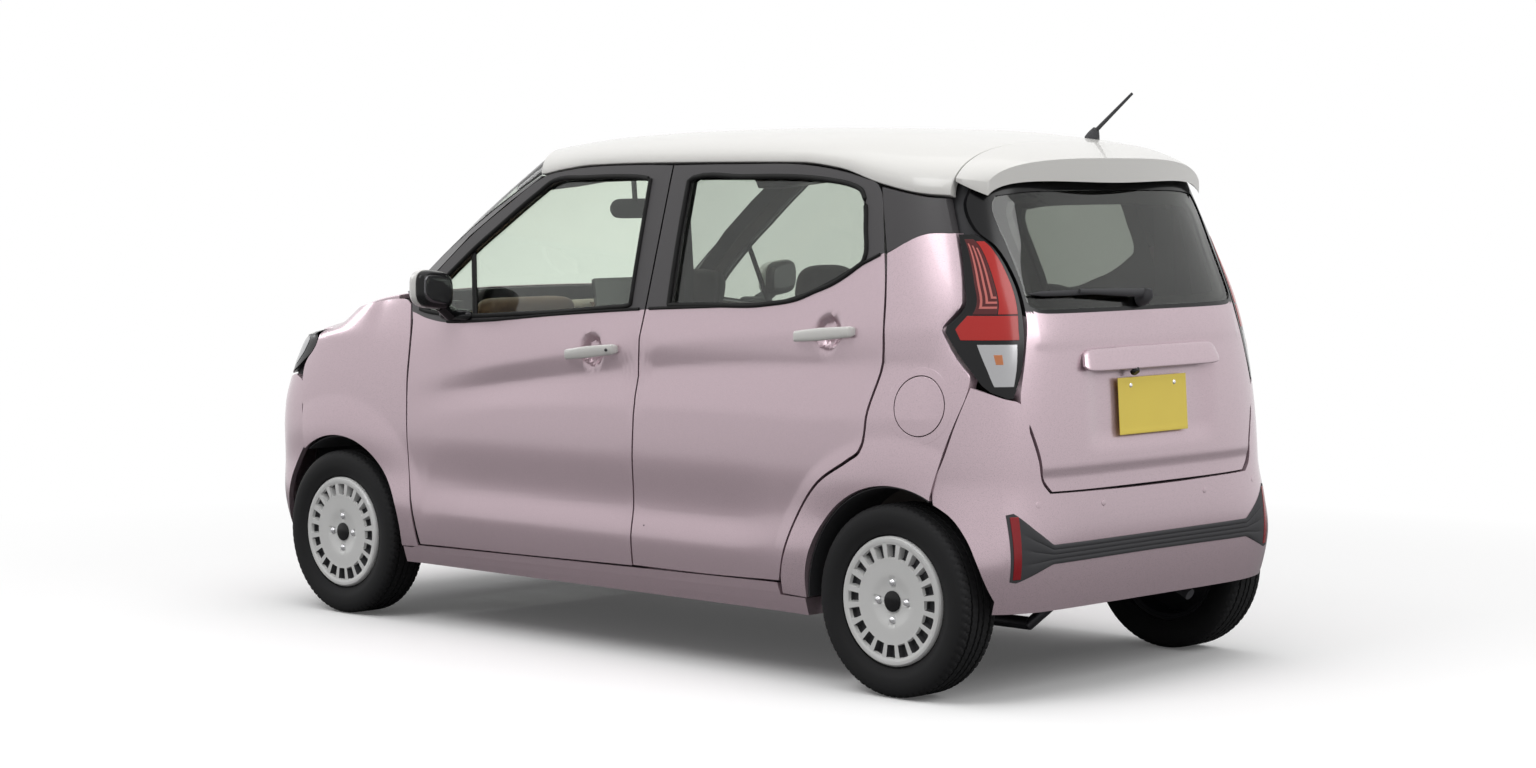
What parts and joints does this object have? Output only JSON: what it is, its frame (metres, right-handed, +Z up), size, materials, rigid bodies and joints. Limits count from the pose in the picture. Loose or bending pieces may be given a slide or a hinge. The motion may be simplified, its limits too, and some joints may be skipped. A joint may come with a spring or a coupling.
{
  "type": "kei car",
  "caption": "Small tall five-door hatchback car with hinged doors, tailgate and bonnet, steered front wheels and full wheel covers.",
  "frame": {"origin": "on the ground under the middle of the car", "axes": "+X to the front of the car, +Y to its left, +Z up"},
  "size_m": [3.4031, 1.7828, 1.7418],
  "materials": {
    "body_paint": "gloss",
    "bumper_paint": "gloss",
    "white_paint": "gloss",
    "frame_paint": "satin",
    "glass": "gloss",
    "lamp": "gloss",
    "black_plastic": "matt",
    "dash_plastic": "matt",
    "seat_fabric": "woven",
    "engine_metal": "cast",
    "chassis_steel": "satin",
    "wheel": "gloss",
    "tyre": "matt"
  },
  "bodies": {
    "body": {"floor_pan": "frame_paint", "side_frame_left": "frame_paint", "side_frame_right": "frame_paint", "quarter_left": "body_paint", "quarter_right": "body_paint", "roof_panel": "white_paint", "front_fenders": "body_paint", "front_bumper": "bumper_paint", "rear_bumper": "bumper_paint", "bumper_trim": "black_plastic", "arch_liners": "black_plastic", "grille": "black_plastic", "headlamps": "lamp", "tail_lamps": "lamp", "windscreen": "glass", "cowl": "black_plastic", "pillar_trims": "black_plastic", "dashboard": "dash_plastic", "front_seats": "seat_fabric", "rear_seat": "seat_fabric", "engine_block": "engine_metal", "front_suspension": "chassis_steel", "rear_axle": "chassis_steel", "exhaust": "chassis_steel", "fuel_tank": "black_plastic", "antenna": "black_plastic"},
    "front_door_left": {"door_front_left": "body_paint", "glass_front_left": "glass", "handle_front_left": "white_paint", "mirror_left": "white_paint"},
    "rear_door_left": {"door_rear_left": "body_paint", "glass_rear_left": "glass", "handle_rear_left": "white_paint"},
    "front_door_right": {"door_front_right": "body_paint", "glass_front_right": "glass", "handle_front_right": "white_paint", "mirror_right": "white_paint"},
    "rear_door_right": {"door_rear_right": "body_paint", "glass_rear_right": "glass", "handle_rear_right": "white_paint"},
    "tailgate": {"tailgate": "body_paint", "tailgate_glass": "glass", "spoiler": "white_paint", "rear_wiper": "black_plastic"},
    "bonnet": {"bonnet": "body_paint"},
    "fuel_lid": {"fuel_lid": "body_paint"},
    "steering_wheel": {"steering_wheel": "black_plastic"},
    "knuckle_left": {"knuckle_left": "chassis_steel"},
    "knuckle_right": {"knuckle_right": "chassis_steel"},
    "wheel_front_left": {"tyre_front_left": "tyre", "wheel_front_left": "wheel"},
    "wheel_front_right": {"tyre_front_right": "tyre", "wheel_front_right": "wheel"},
    "wheel_rear_left": {"tyre_rear_left": "tyre", "wheel_rear_left": "wheel"},
    "wheel_rear_right": {"tyre_rear_right": "tyre", "wheel_rear_right": "wheel"}
  },
  "joints": [
    {"name": "front_door_left_swing", "type": "hinge", "parent": "body", "child": "front_door_left", "pos_m": [0.775, 0.71395, 0.63], "axis": [0, 0, -1], "range_deg": [0, 66]},
    {"name": "rear_door_left_swing", "type": "hinge", "parent": "body", "child": "rear_door_left", "pos_m": [-0.2905, 0.71296, 0.63], "axis": [0, 0, -1], "range_deg": [0, 72]},
    {"name": "front_door_right_swing", "type": "hinge", "parent": "body", "child": "front_door_right", "pos_m": [0.775, -0.71395, 0.63], "axis": [0, 0, 1], "range_deg": [0, 66]},
    {"name": "rear_door_right_swing", "type": "hinge", "parent": "body", "child": "rear_door_right", "pos_m": [-0.2905, -0.71296, 0.63], "axis": [0, 0, 1], "range_deg": [0, 72]},
    {"name": "tailgate_lift", "type": "hinge", "parent": "body", "child": "tailgate", "pos_m": [-1.388, 0, 1.58972], "axis": [0, 1, 0], "range_deg": [0, 78]},
    {"name": "bonnet_lift", "type": "hinge", "parent": "body", "child": "bonnet", "pos_m": [1.06, 0, 1.067], "axis": [0, -1, 0], "range_deg": [0, 48]},
    {"name": "fuel_lid_swing", "type": "hinge", "parent": "body", "child": "fuel_lid", "pos_m": [-1.3045, 0.71373, 0.841], "axis": [0, 0, -1], "range_deg": [0, 88]},
    {"name": "steer_left", "type": "hinge", "parent": "body", "child": "knuckle_left", "pos_m": [1.195, 0.598, 0.2785], "axis": [0, 0, 1], "range_deg": [-33, 33]},
    {"name": "steer_right", "type": "hinge", "parent": "body", "child": "knuckle_right", "pos_m": [1.195, -0.598, 0.2785], "axis": [0, 0, 1], "range_deg": [-33, 33]},
    {"name": "steering_wheel_turn", "type": "hinge", "parent": "body", "child": "steering_wheel", "pos_m": [0.495, -0.31, 0.93], "axis": [-0.9135, 0, 0.4067], "range_deg": [-495, 495]},
    {"name": "wheel_front_left_spin", "type": "hinge", "parent": "knuckle_left", "child": "wheel_front_left", "pos_m": [1.195, 0.65, 0.2785], "axis": [0, 1, 0], "continuous": true},
    {"name": "wheel_front_right_spin", "type": "hinge", "parent": "knuckle_right", "child": "wheel_front_right", "pos_m": [1.195, -0.65, 0.2785], "axis": [0, 1, 0], "continuous": true},
    {"name": "wheel_rear_left_spin", "type": "hinge", "parent": "body", "child": "wheel_rear_left", "pos_m": [-1.3, 0.65, 0.2785], "axis": [0, 1, 0], "continuous": true},
    {"name": "wheel_rear_right_spin", "type": "hinge", "parent": "body", "child": "wheel_rear_right", "pos_m": [-1.3, -0.65, 0.2785], "axis": [0, 1, 0], "continuous": true}
  ],
  "couplings": [
    {"joint": "steer_right", "follows": "steer_left", "ratio": 1},
    {"joint": "steering_wheel_turn", "follows": "steer_left", "ratio": 15}
  ]
}
